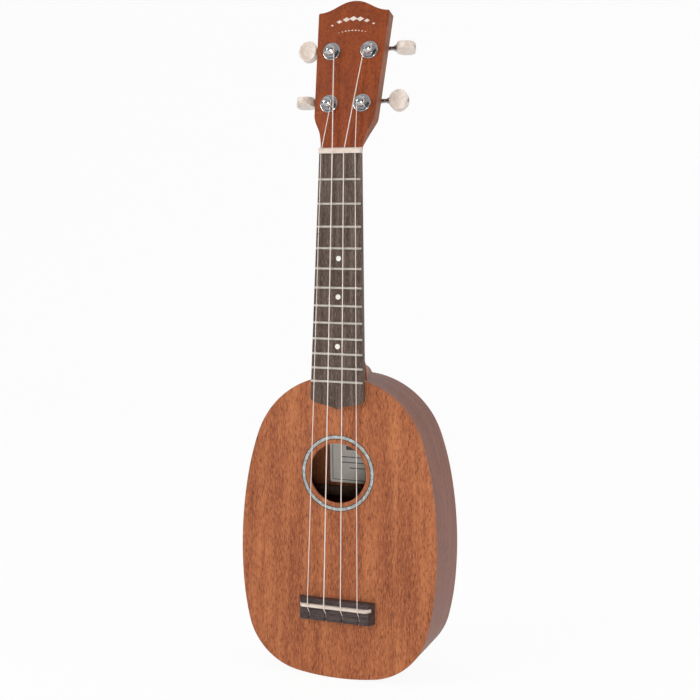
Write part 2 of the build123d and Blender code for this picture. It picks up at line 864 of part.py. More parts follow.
with BuildPart() as tuner_bushings:
    for name in string_names:
        with BuildSketch(tuner_plane(name, washer_thickness)):
            RegularPolygon(bushing_flats / 2, 6, major_radius=False)
        extrude(amount=bushing_height, taper=4)
        with BuildSketch(tuner_plane(name, washer_thickness)):
            Circle(bushing_shank_radius)
        extrude(amount=-washer_thickness - head_thickness + 0.5)
        with BuildSketch(tuner_plane(name, washer_thickness + bushing_height)):
            Circle(post_radius + running_clearance)
        extrude(amount=-washer_thickness - bushing_height - head_thickness, mode=Mode.SUBTRACT)
save(tuner_bushings, "tuner_bushings")

ear_middle = cavity_low + housing_wall + ear_length / 2

with BuildPart() as tuner_housings:
    for name in string_names:
        outward = 1 if post_places[name][0] > 0 else -1
        seat = tuner_plane(name, -head_thickness)
        outer_size = (2 * (cavity_side + housing_wall), cavity_low + cavity_high + 2 * housing_wall)
        middle = (cavity_high - cavity_low) / 2
        with BuildSketch(seat):
            with Locations((0, middle)):
                RectangleRounded(*outer_size, 2.5)
        extrude(amount=cavity_back + head_thickness)
        with BuildSketch(seat):
            with Locations((0, -ear_middle)):
                SlotCenterToCenter(ear_length + 2 * ear_half_width, 2 * ear_half_width, rotation=90)
        extrude(amount=-housing_wall)
        bearing = shaft_plane(name)
        with BuildSketch(bearing.offset(cavity_side)):
            Circle(bearing_radius)
        extrude(amount=housing_wall + bearing_length)
        with BuildSketch(seat.offset(-housing_wall)):
            with Locations((0, middle)):
                RectangleRounded(2 * cavity_side, cavity_low + cavity_high, 1.5)
        extrude(amount=cavity_back + head_thickness + housing_wall, mode=Mode.SUBTRACT)
        with BuildSketch(seat):
            Circle(post_radius + running_clearance)
            with Locations((0, -ear_middle)):
                Circle(screw_radius + running_clearance)
        extrude(amount=-housing_wall, mode=Mode.SUBTRACT)
        with BuildSketch(bearing.offset(-cavity_side - 0.8)):
            Circle(shaft_radius + running_clearance)
        extrude(amount=2 * cavity_side + 0.8 + housing_wall + bearing_length, mode=Mode.SUBTRACT)
save(tuner_housings, "tuner_housings")

with BuildPart() as tuner_covers:
    for name in string_names:
        with BuildSketch(tuner_plane(name, cavity_back)):
            with Locations((0, middle)):
                RectangleRounded(*outer_size, 2.5)
        extrude(amount=-cover_thickness)
    fillet(edges().group_by(Axis(head.origin, head.z_dir))[0], 0.5)
save(tuner_covers, "tuner_covers")

with BuildPart() as tuner_mounting_screws:
    for name in string_names:
        ear_face = tuner_plane(name, -head_thickness - housing_wall)
        with BuildSketch(ear_face):
            with Locations((0, -ear_middle)):
                Circle(screw_head[0])
        extrude(amount=-screw_head[1])
        with BuildSketch(ear_face):
            with Locations((0, -ear_middle)):
                Circle(screw_radius)
        extrude(amount=screw_length - 0.2)
        with BuildSketch(ear_face.offset(-screw_head[1])):
            with Locations((0, -ear_middle)):
                Rectangle(2.4, 0.5)
                Rectangle(0.5, 2.4)
        extrude(amount=0.5, mode=Mode.SUBTRACT)
save(tuner_mounting_screws, "tuner_mounting_screws")

# One right-handed thread, along Z, that crosses the X axis at whole pitches from its middle.
thread_length = worm_turns * gear_pitch
with BuildPart() as worm_thread:
    with BuildLine() as spiral:
        Helix(gear_pitch, thread_length, worm_root_radius - 0.1, center=(0, 0, -thread_length / 2))
    with BuildSketch(Plane(spiral.line @ 0, x_dir=(1, 0, 0), z_dir=spiral.line % 0)):
        with BuildLine():
            tip = worm_outer_radius - worm_root_radius + 0.1
            Polyline((0, -thread_root / 2), (tip, -thread_tip / 2), (tip, thread_tip / 2), (0, thread_root / 2),
                     close=True)
        make_face()
    sweep(path=spiral.line, is_frenet=True)

worm_end = thread_length / 2 + tooth_thickness
for name in string_names:
    x, up = post_places[name]
    axis_plane = shaft_plane(name)
    bearing_end = cavity_side + housing_wall + bearing_length
    button_at = button_start - abs(x) + (abs(x) - lower_post[0]) * 1.0

    with BuildPart() as shaft:
        with BuildSketch(spin_plane(axis_plane)):
            add(turned_section([
                (-cavity_side - 0.7, 0),
                (-cavity_side - 0.7, shaft_radius),
                (-worm_end, shaft_radius),
                (-worm_end, worm_root_radius),
                (worm_end, worm_root_radius),
                (worm_end, shaft_radius),
                (bearing_end + 0.15, shaft_radius),
                (bearing_end + 0.15, shaft_radius + 0.7),
                (bearing_end + 1.35, shaft_radius + 0.7),
                (bearing_end + 1.35, shaft_radius + 0.2),
                (button_at - ferrule_length, shaft_radius + 0.2),
                (button_at, ferrule_radius),
                (button_at, shaft_radius),
                (button_at + button_length - 4.0, shaft_radius),
                (button_at + button_length - 4.0, 0),
            ]))
        revolve(axis=Axis(axis_plane.origin, axis_plane.z_dir))
        mesh_plane = Plane(axis_plane.origin, x_dir=-head.y_dir, z_dir=(1, 0, 0))
        add(mesh_plane.location * worm_thread.part)
        with BuildSketch(axis_plane.offset(button_at + button_length)):
            Circle(0.8)
        extrude(amount=-6.0, mode=Mode.SUBTRACT)
    save(shaft, f"worm_shaft_{name}")

    # The flat of the button faces the front on one tuner of each side, and up the neck on the other.
    face_dir = head.z_dir if name in ("c", "a") else head.y_dir
    button_middle = axis_plane.offset(button_at + button_length / 2).origin
    flat = Plane(button_middle, x_dir=(1, 0, 0), z_dir=face_dir)
    with BuildPart() as button:
        with BuildSketch(flat):
            Ellipse(button_length / 2, button_width / 2)
        extrude(amount=button_thickness / 2, both=True)
        dish_radius = ((button_length * 0.42) ** 2 + button_dish**2) / (2 * button_dish)
        for face_side in (-1, 1):
            dish_line = flat.offset(face_side * (button_thickness / 2 - button_dish + dish_radius)).origin
            with BuildSketch(Plane(dish_line, x_dir=(1, 0, 0), z_dir=flat.y_dir)):
                Circle(dish_radius)
            extrude(amount=button_width, both=True, mode=Mode.SUBTRACT)
        fillet(edges(), 0.6)
        with BuildSketch(axis_plane.offset(button_at + button_length + 1)):
            Circle(1.9)
        extrude(amount=-2.4, mode=Mode.SUBTRACT)
        with BuildSketch(axis_plane.offset(button_at)):
            Circle(shaft_radius)
        extrude(amount=button_length, mode=Mode.SUBTRACT)
        with BuildSketch(axis_plane.offset(button_at)):
            Circle(ferrule_radius + 0.2)
        extrude(amount=-1.0, mode=Mode.SUBTRACT)
    save(button, f"button_{name}")

    with BuildPart() as button_screw:
        with BuildSketch(axis_plane.offset(button_at + button_length - 1.4)):
            Circle(1.7)
        extrude(amount=0.9)
        with BuildSketch(axis_plane.offset(button_at + button_length - 1.4)):
            Circle(0.8)
        extrude(amount=-4.4)
        with BuildSketch(axis_plane.offset(button_at + button_length - 0.5)):
            Rectangle(2.2, 0.45)
            Rectangle(0.45, 2.2)
        extrude(amount=-0.45, mode=Mode.SUBTRACT)
    save(button_screw, f"button_screw_{name}")

    gear_middle = tuner_plane(name, shaft_line)
    with BuildPart() as wheel:
        with BuildSketch(gear_middle):
            Circle(gear_root_radius)
            tooth_angles = [90 + (k + 0.5) * 360 / gear_teeth for k in range(gear_teeth)]
            for angle in tooth_angles:
                with Locations(Rot(0, 0, angle) * Pos((gear_root_radius + gear_outer_radius) / 2, 0)):
                    height = gear_outer_radius - gear_root_radius + 0.4
                    Trapezoid(tooth_thickness * 1.5, height, 80, rotation=-90)
            Circle(gear_bore_radius, mode=Mode.SUBTRACT)
        extrude(amount=gear_face / 2, both=True)
    save(wheel, f"worm_wheel_{name}")

    with BuildPart() as post:
        with BuildSketch(spin_plane(tuner_plane(name, 0))):
            add(turned_section([
                (cavity_back + 0.1, 0),
                (cavity_back + 0.1, gear_bore_radius),
                (shaft_line + gear_face / 2, gear_bore_radius),
                (shaft_line + gear_face / 2, post_radius),
                (post_waist[0], post_radius),
                (post_waist[0], post_waist_radius),
                (post_waist[1], post_waist_radius),
                (post_waist[1], post_cap_radius),
                (post_cap_top - 0.7, post_cap_radius),
                (post_cap_top - 0.15, post_cap_radius * 0.72),
                (post_cap_top, post_cap_radius * 0.3),
                (post_cap_top, 0),
            ]))
        revolve(axis=Axis(tuner_plane(name, 0).origin, head.z_dir))
        hole_start = around_post(name, arrival(name)[0], 0, post_hole_height)
        tail_angle = arrival(name)[0] + radians(40)
        across = head.x_dir * cos(tail_angle) + head.y_dir * sin(tail_angle)
        with BuildSketch(Plane(hole_start, x_dir=head.z_dir, z_dir=across)):
            Circle(post_hole_radius)
        extrude(amount=2 * post_cap_radius, both=True, mode=Mode.SUBTRACT)
    save(post, f"post_{name}")

    # The turns already wound on the post, and the end that passes through its hole.
    radius = string_radii[name]
    coil_start = wrap_height(name) + 2 * radius + running_clearance
    coil_pitch = 2 * radius + running_clearance
    coil_rise = post_hole_height - coil_start
    turn = arrival(name)[2]
    with BuildPart() as winding:
        with BuildLine() as coil:
            Helix(coil_pitch, coil_rise, wrap_radius(name), lefthand=turn < 0)
        with BuildSketch(Plane(coil.line @ 0, z_dir=coil.line % 0)):
            Circle(radius)
        sweep(path=coil.line, is_frenet=True)
        end = coil.line @ 1
        inward = Vector(-end.X, -end.Y, 0).normalized()
        with Locations(end):
            Sphere(radius + 0.03)
        with BuildSketch(Plane(end, z_dir=inward)):
            Circle(radius)
        extrude(amount=2 * wrap_radius(name) + 1.6)
    end_angle = atan2(end.Y, end.X)
    turn_to_hole = Rot(0, 0, degrees(tail_angle - end_angle))
    winding.part = tuner_plane(name, coil_start).location * (turn_to_hole * winding.part)
    save(winding, f"winding_{name}")
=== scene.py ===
"""Looks of a soprano ukulele: woods, plated tuners, pearloid buttons, nylon strings and studio."""

import math

import bpy
from mathutils import Matrix, Vector


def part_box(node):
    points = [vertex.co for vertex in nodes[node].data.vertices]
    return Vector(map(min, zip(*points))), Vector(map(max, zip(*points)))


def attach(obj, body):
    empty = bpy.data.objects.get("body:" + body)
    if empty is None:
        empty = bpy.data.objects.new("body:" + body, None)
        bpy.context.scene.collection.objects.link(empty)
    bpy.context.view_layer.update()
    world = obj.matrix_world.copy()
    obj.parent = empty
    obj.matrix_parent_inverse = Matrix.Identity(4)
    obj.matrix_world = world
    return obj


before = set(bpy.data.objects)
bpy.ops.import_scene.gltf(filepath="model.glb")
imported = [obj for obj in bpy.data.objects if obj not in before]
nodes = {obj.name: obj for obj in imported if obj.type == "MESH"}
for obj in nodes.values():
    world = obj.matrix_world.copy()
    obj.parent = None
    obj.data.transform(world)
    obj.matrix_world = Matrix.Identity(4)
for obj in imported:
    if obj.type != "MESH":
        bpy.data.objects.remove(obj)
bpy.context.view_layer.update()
MM = 0.001
STRINGS = ("g", "c", "e", "a")

# The headstock's face: how far it leans back, and the middle of its lower edge.
head_tilt = math.radians(13.1)
head_start = Vector((0, 3.0, 4.5)) * MM
head_up = Vector((0, math.sin(head_tilt), math.cos(head_tilt)))
head_outward = Vector((0, -math.cos(head_tilt), math.sin(head_tilt)))

# Most values of a noise pattern lie between these.
NOISE_LOW, NOISE_HIGH = 0.3, 0.7
# A Mix node's two colours and its result, by number, because its sockets share their names.
UNDER, OVER, MIXED = 6, 7, 2


# ---------------------------------------------------------------- small helpers
def linear(hex_colour):
    """An sRGB hex colour as Blender's linear colour, opaque."""
    channels = [int(hex_colour[i:i + 2], 16) / 255 for i in (1, 3, 5)]
    return [c / 12.92 if c <= 0.04045 else ((c + 0.055) / 1.055) ** 2.4 for c in channels] + [1.0]


def set_inputs(tree, node, inputs):
    """Sets a node's inputs. A socket is linked, a hex colour is made linear, any other value is kept."""
    for key, value in inputs.items():
        if isinstance(value, bpy.types.NodeSocket):
            tree.links.new(value, node.inputs[key])
        else:
            node.inputs[key].default_value = linear(value) if isinstance(value, str) else value


def add_node(tree, kind, inputs=None, stops=(), **settings):
    """Adds a node with its inputs and settings. Stops are a colour ramp's (position, hex colour)."""
    made = tree.nodes.new(kind)
    for name, value in settings.items():
        setattr(made, name, value)
    set_inputs(tree, made, inputs or {})
    for index, (position, colour) in enumerate(stops):
        elements = made.color_ramp.elements
        element = elements[index] if index < 2 else elements.new(position)
        element.position = position
        element.color = linear(colour)
    return made


def new_material(name):
    """A new material, its tree and its Principled shader."""
    material = bpy.data.materials.new(name)
    material.use_nodes = True
    tree = material.node_tree
    return material, tree, tree.nodes["Principled BSDF"]


def soft_spots(tree, sizes_mm, detail=3.0, roughness=0.5, distortion=0.0, shift=(0, 0, 0)):
    """Random soft spots on Object coordinates, this many millimetres across on each axis."""
    place = add_node(tree, "ShaderNodeTexCoord").outputs["Object"]
    scale = [1 / (size * MM) for size in sizes_mm]
    scaled = add_node(tree, "ShaderNodeMapping", {"Vector": place, "Scale": scale, "Location": shift})
    spots = add_node(tree, "ShaderNodeTexNoise", {
        "Vector": scaled.outputs["Vector"], "Scale": 1.0, "Detail": detail,
        "Roughness": roughness, "Distortion": distortion})
    return spots.outputs["Fac"]


def two_tones(dark, light):
    """A ramp's stops for a noise pattern that runs from one hex colour to another."""
    return [(NOISE_LOW, dark), (NOISE_HIGH, light)]


# ---------------------------------------------------------------- woods
def grain_sizes(grain, across_mm, along_mm):
    """Sizes of a pattern that is long on the axes named in grain and narrow on the others."""
    return [along_mm if axis in grain else across_mm for axis in "XYZ"]


def wood(name, grain, tones, ribbon_mm, pore_mm, pore_colour, roughness,
         pore_depth_mm=0.05, gloss=0.3, overlay=None):
    """Open-pored wood. Tones are its dark, middle and light; grain names the axes it runs along.

    Pores are drawn about three times as wide as real ones, so that they show. An overlay is given the
    tree and the wood's colour and returns the colour to use.
    """
    material, tree, shader = new_material(name)
    fibre_width_mm, fibre_length_mm = 0.55, 6.0
    ribbons = soft_spots(tree, grain_sizes(grain, ribbon_mm, ribbon_mm * 14), 2.0, distortion=0.3)
    fibres = soft_spots(tree, grain_sizes(grain, fibre_width_mm, fibre_length_mm), 4.0, 0.65, shift=(3, 1, 2))
    flecks = soft_spots(tree, grain_sizes(grain, pore_mm, pore_mm * 5), 2.0, 0.6, shift=(7, 5, 9))

    ribbon_share, fibre_share = 0.55, 0.45
    ribbon_part = add_node(tree, "ShaderNodeMapRange", {
        "Value": ribbons, "From Min": NOISE_LOW, "From Max": NOISE_HIGH, "To Max": ribbon_share})
    fibre_part = add_node(tree, "ShaderNodeMapRange", {
        "Value": fibres, "From Min": NOISE_LOW, "From Max": NOISE_HIGH, "To Max": fibre_share})
    tone = add_node(tree, "ShaderNodeMath", {
        0: ribbon_part.outputs["Result"], 1: fibre_part.outputs["Result"]}, operation="ADD").outputs[0]
    body = add_node(tree, "ShaderNodeValToRGB", {"Fac": tone}, zip((0.0, 0.5, 1.0), tones)).outputs["Color"]

    # The strongest flecks are pores. The weakest are spots of sheen between them.
    pore_strength, sheen_strength = 0.75, 0.6
    pores = add_node(tree, "ShaderNodeMapRange", {"Value": flecks, "From Min": 0.56, "From Max": 0.66})
    pore_share = add_node(tree, "ShaderNodeMath", {0: pores.outputs["Result"], 1: pore_strength},
                          operation="MULTIPLY").outputs[0]
    body = add_node(tree, "ShaderNodeMix", {"Factor": pore_share, UNDER: body, OVER: pore_colour},
                    data_type="RGBA").outputs[MIXED]
    sheen = add_node(tree, "ShaderNodeMapRange", {
        "Value": flecks, "From Min": 0.45, "From Max": 0.35, "To Max": sheen_strength})
    body = add_node(tree, "ShaderNodeMix", {"Factor": sheen.outputs["Result"], UNDER: body, OVER: tones[2]},
                    data_type="RGBA").outputs[MIXED]

    matt = add_node(tree, "ShaderNodeMapRange", {
        "Value": fibres, "From Min": NOISE_LOW, "From Max": NOISE_HIGH,
        "To Min": roughness - 0.05, "To Max": roughness + 0.07})
    sunk = add_node(tree, "ShaderNodeMapRange", {
        "Value": flecks, "From Min": 0.5, "From Max": 0.68, "To Min": 1.0, "To Max": 0.0})
    relief = add_node(tree, "ShaderNodeBump", {
        "Height": sunk.outputs["Result"], "Distance": pore_depth_mm * MM, "Strength": 0.5})
    set_inputs(tree, shader, {
        "Base Color": overlay(tree, body) if overlay else body, "Roughness": matt.outputs["Result"],
        "Normal": relief.outputs["Normal"], "Specular IOR Level": gloss})
    return material


def headstock_veneer(tree, body):
    """The wood's colour, stained redder in a thin veneer on the headstock's face, above the nut."""
    veneer_mm, nut_top_mm = 0.5, 4.0
    stain = add_node(tree, "ShaderNodeMix", {"Factor": 1.0, UNDER: body, OVER: "#F4BA5C"},
                     data_type="RGBA", blend_type="MULTIPLY").outputs[MIXED]
    place = add_node(tree, "ShaderNodeTexCoord").outputs["Object"]
    from_start = add_node(tree, "ShaderNodeVectorMath", {0: place, 1: head_start}, operation="SUBTRACT")
    outward = add_node(tree, "ShaderNodeVectorMath", {0: from_start.outputs[0], 1: head_outward},
                       operation="DOT_PRODUCT").outputs["Value"]
    height = add_node(tree, "ShaderNodeSeparateXYZ", {0: place}).outputs["Z"]
    in_veneer = add_node(tree, "ShaderNodeMapRange", {
        "Value": outward, "From Min": -(veneer_mm + 0.1) * MM, "From Max": -veneer_mm * MM})
    above_nut = add_node(tree, "ShaderNodeMapRange", {
        "Value": height, "From Min": nut_top_mm * MM, "From Max": (nut_top_mm + 0.4) * MM})
    mask = add_node(tree, "ShaderNodeMath", {0: in_veneer.outputs["Result"], 1: above_nut.outputs["Result"]},
                    operation="MULTIPLY").outputs[0]
    return add_node(tree, "ShaderNodeMix", {"Factor": mask, UNDER: body, OVER: stain},
                    data_type="RGBA").outputs[MIXED]


# Satin-lacquered mahogany laminate: warm brown, short open pores and soft vertical ribbons.
plate_wood = wood("mahogany_top", "Z", ("#7A3C20", "#9C5834", "#BF7749"), 7.0, 0.75, "#592A14", 0.48)
back_wood = wood("mahogany_back", "Z", ("#6F381C", "#8D502D", "#A7663C"), 8.0, 0.75, "#5A2C15", 0.48)
# The same laminate bent round the rim, so its grain runs round the body; its tones are darker than the top's,
# as painted shade on the rim.
shaded_side_wood = wood("mahogany_sides_painted_shade", "XZ", ("#5C3120", "#79412C", "#965B3F"), 6.0, 0.75, "#4A2A20", 0.5,
                 gloss=0.5)
# Raw mahogany inside the body, unlacquered, its tones darkened as painted shade inside the body.
shaded_inner_wood = wood("raw_mahogany_inside_painted_shade", "XZ", ("#4A3226", "#5E4334", "#72574A"), 6.0, 0.8, "#6E4630", 0.75)
# Indian rosewood: dark brown with paler streaks and long pores, left dry.
fretboard_wood = wood("rosewood_fretboard", "Z", ("#35271F", "#54443A", "#77685E"), 3.0, 0.8, "#251B15", 0.55,
                      pore_depth_mm=0.08)
bridge_wood = wood("rosewood_bridge", "X", ("#2E2423", "#423635", "#564A48"), 3.0, 0.7, "#1C1413", 0.42,
                   pore_depth_mm=0.06)
# Solid mahogany, lacquered, with the stained veneer on the headstock's face.
neck_wood = wood("mahogany_neck", "Z", ("#6E3B22", "#8B5133", "#A4673F"), 5.0, 0.7, "#532C18", 0.45,
                 overlay=headstock_veneer)


# ---------------------------------------------------------------- metals
def metal(name, tones, roughness):
    """A polished or plated metal with faint polishing marks."""
    material, tree, shader = new_material(name)
    unevenness = 0.02
    marks = soft_spots(tree, [1.2] * 3)
    colour = add_node(tree, "ShaderNodeValToRGB", {"Fac": marks}, two_tones(*tones))
    matt = add_node(tree, "ShaderNodeMapRange", {
        "Value": marks, "From Min": NOISE_LOW, "From Max": NOISE_HIGH,
        "To Min": roughness - unevenness, "To Max": roughness + unevenness})
    relief = add_node(tree, "ShaderNodeBump", {"Height": marks, "Distance": 0.01 * MM, "Strength": 0.3})
    set_inputs(tree, shader, {
        "Base Color": colour.outputs["Color"], "Metallic": 1.0,
        "Roughness": matt.outputs["Result"], "Normal": relief.outputs["Normal"]})
    return material


# Chrome plate on die-cast zinc: bright and cool, sharp reflections.
chrome = metal("chrome_plate", ("#B9BBBE", "#CDCED1"), 0.14)
# Nickel silver fret wire, polished across its crown.
fret_wire = metal("nickel_silver_frets", ("#C8C2B6", "#DAD5CB"), 0.35)
# Brass worm wheel, hobbed and left bare.
wheel_brass = metal("brass_gear", ("#B98F45", "#D0AC62"), 0.3)


# ---------------------------------------------------------------- bone, nylon, pearl, fibre and paper
def clouded(name, sizes_mm, stops, finish, relief_mm=0.0, relief_strength=1.0, **pattern):
    """A material whose colour and faint relief follow one pattern of soft spots."""
    material, tree, shader = new_material(name)
    clouds = soft_spots(tree, sizes_mm, **pattern)
    colour = add_node(tree, "ShaderNodeValToRGB", {"Fac": clouds}, stops)
    set_inputs(tree, shader, {"Base Color": colour.outputs["Color"], **finish})
    if relief_mm:
        relief = add_node(tree, "ShaderNodeBump", {
            "Height": clouds, "Distance": relief_mm * MM, "Strength": relief_strength})
        set_inputs(tree, shader, {"Normal": relief.outputs["Normal"]})
    return material


# Moulded ivory-white plastic bone: dense, slightly waxy, with faint cloudiness.
bone = clouded("moulded_bone", [4.0] * 3, two_tones("#D2C0B2", "#E2D4C8"), {
    "Roughness": 0.35, "Subsurface Weight": 0.08, "Subsurface Radius": (0.002, 0.0015, 0.001),
}, relief_mm=0.02, relief_strength=0.2)
# Clear-white nylon monofilament: pale, glossy, slightly translucent, with faint drawn streaks.
nylon = clouded("nylon_strings", [0.4, 0.4, 20.0], two_tones("#D6C6BC", "#E8DCD4"), {
    "Roughness": 0.25, "Subsurface Weight": 0.1, "Subsurface Radius": (0.001, 0.001, 0.001),
}, relief_mm=0.01, relief_strength=0.2, detail=2.0)
# Grey-white pearl plastic strip of the rosette, mottled along its length.
pearl_tones = [(0.32, "#767B7A"), (0.5, "#9EA3A1"), (0.68, "#CDCEC9")]
rosette_pearl = clouded("pearl_rosette", [3.0] * 3, pearl_tones, {
    "Roughness": 0.3,
}, relief_mm=0.02, relief_strength=0.2, detail=4.0, roughness=0.6, distortion=0.8)
# Dyed black fibre lines beside the pearl strip, matt and very slightly uneven.
black_fibre = clouded("black_fibre_line", [0.5] * 3, two_tones("#17120F", "#2A231F"), {
    "Roughness": 0.55,
}, relief_mm=0.02, relief_strength=0.3)
# White position dots of smooth plastic pearl, with a slow swirl and no relief.
dot_pearl = clouded("white_pearl_dots", [1.5] * 3, two_tones("#DCD6CE", "#F8F5F0"), {
    "Roughness": 0.25,
}, distortion=1.0)


def pearloid_material():
    """Cellulose pearloid: cream with drifting paler and pinker clouds under a clear gloss."""
    material, tree, shader = new_material("pearloid_buttons")
    drift = soft_spots(tree, [5.0] * 3, roughness=0.55, distortion=1.6)
    fine = soft_spots(tree, [1.3] * 3, 2.0, shift=(4, 4, 4))
    pearl = add_node(tree, "ShaderNodeValToRGB", {"Fac": drift},
                     [(0.3, "#CBB9AB"), (0.5, "#DBCCBF"), (0.72, "#EADFD5")])
    glints = add_node(tree, "ShaderNodeMapRange", {
        "Value": fine, "From Min": 0.5, "From Max": 0.7, "To Max": 0.4})
    colour = add_node(tree, "ShaderNodeMix", {
        "Factor": glints.outputs["Result"], UNDER: pearl.outputs["Color"], OVER: "#E4DAD1"}, data_type="RGBA")
    relief = add_node(tree, "ShaderNodeBump", {"Height": drift, "Distance": 0.05 * MM, "Strength": 0.15})
    set_inputs(tree, shader, {
        "Base Color": colour.outputs[MIXED], "Normal": relief.outputs["Normal"], "Roughness": 0.32,
        "Coat Weight": 0.4, "Coat Roughness": 0.08,
        "Subsurface Weight": 0.1, "Subsurface Radius": (0.002, 0.0012, 0.0008)})
    return material


def label_paper():
    """Cream laid paper, with a plain printed border and a few bars where words would go."""
    material, tree, shader = new_material("printed_label_paper")
    low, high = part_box("label")
    half_width, half_height = (high.x - low.x) / 2, (high.z - low.z) / 2
    place = add_node(tree, "ShaderNodeTexCoord").outputs["Object"]
    centred = add_node(tree, "ShaderNodeVectorMath", {0: place, 1: (low + high) / 2}, operation="SUBTRACT")
    axes = add_node(tree, "ShaderNodeSeparateXYZ", {0: centred.outputs[0]}).outputs

    def block(level, half_long, half_tall):
        """1 inside a rectangle centred across the label at this height, and 0 outside it."""
        in_x = add_node(tree, "ShaderNodeMath", {0: axes["X"], 1: 0.0, 2: half_long}, operation="COMPARE")
        in_z = add_node(tree, "ShaderNodeMath", {0: axes["Z"], 1: level, 2: half_tall}, operation="COMPARE")
        return add_node(tree, "ShaderNodeMath", {0: in_x.outputs[0], 1: in_z.outputs[0]},
                        operation="MULTIPLY").outputs[0]

    inset, line = 2.6 * MM, 0.5 * MM
    outside = block(0.0, half_width - inset + line, half_height - inset + line)
    inside = block(0.0, half_width - inset, half_height - inset)
    ink = add_node(tree, "ShaderNodeMath", {0: outside, 1: inside}, operation="SUBTRACT").outputs[0]
    # Height above the middle, half length and thickness of a heading bar and three lines, in millimetres.
    for level, half_long, tall in ((8.0, 15.0, 3.2), (0.5, 19.0, 0.8), (-4.0, 19.0, 0.8), (-8.5, 12.0, 0.8)):
        bar = block(level * MM, half_long * MM, tall / 2 * MM)
        ink = add_node(tree, "ShaderNodeMath", {0: ink, 1: bar}, operation="MAXIMUM").outputs[0]
    ink_strength = 0.85
    ink_share = add_node(tree, "ShaderNodeMath", {0: ink, 1: ink_strength}, operation="MULTIPLY").outputs[0]
    fibre = soft_spots(tree, [0.8] * 3, 4.0)
    paper = add_node(tree, "ShaderNodeValToRGB", {"Fac": fibre}, two_tones("#EFE8DC", "#FAF5EC"))
    printed = add_node(tree, "ShaderNodeMix", {
        "Factor": ink_share, UNDER: paper.outputs["Color"], OVER: "#2E2A28"}, data_type="RGBA")
    relief = add_node(tree, "ShaderNodeBump", {"Height": fibre, "Distance": 0.03 * MM, "Strength": 0.3})
    set_inputs(tree, shader, {
        "Base Color": printed.outputs[MIXED], "Roughness": 0.85, "Normal": relief.outputs["Normal"]})
    return material


# ---------------------------------------------------------------- finishes of the CAD pieces
finishes = {
    "soundboard": plate_wood,
    "back_plate": back_wood,
    "side_left": shaded_side_wood,
    "side_right": shaded_side_wood,
    "fretboard": fretboard_wood,
    "bridge": bridge_wood,
    "neck": neck_wood,
    "label": label_paper(),
    "rosette_ring": rosette_pearl,
    "rosette_lines": black_fibre,
    "position_dots": dot_pearl,
    "frets": fret_wire,
    "nut": bone,
    "saddle": bone,
}
pearloid = pearloid_material()
for name in STRINGS:
    finishes.update({f"string_{name}": nylon, f"winding_{name}": nylon, f"button_{name}": pearloid,
                     f"worm_wheel_{name}": wheel_brass})


def finish_for(node_name):
    """The material of a CAD piece: named above, raw wood darkened with painted shade inside the body, chrome
    on the tuners.
    """
    if node_name in finishes:
        return finishes[node_name]
    inside = ("linings", "block", "brace", "plate", "dowels")
    return shaded_inner_wood if any(word in node_name for word in inside) else chrome


for node_name, piece in nodes.items():
    piece.data.materials.clear()
    piece.data.materials.append(finish_for(node_name))


# ---------------------------------------------------------------- inlay on the headstock
def node_group(name, sizes):
    """A Geometry Nodes tree with a named input for each size: the tree, its inputs and its output node."""
    tree = bpy.data.node_groups.new(name, "GeometryNodeTree")
    for label, size in sizes.items():
        kind = "NodeSocketInt" if isinstance(size, int) else "NodeSocketFloat"
        tree.interface.new_socket(label, in_out="INPUT", socket_type=kind)
    tree.interface.new_socket("Geometry", in_out="OUTPUT", socket_type="NodeSocketGeometry")
    return tree, add_node(tree, "NodeGroupInput").outputs, add_node(tree, "NodeGroupOutput")


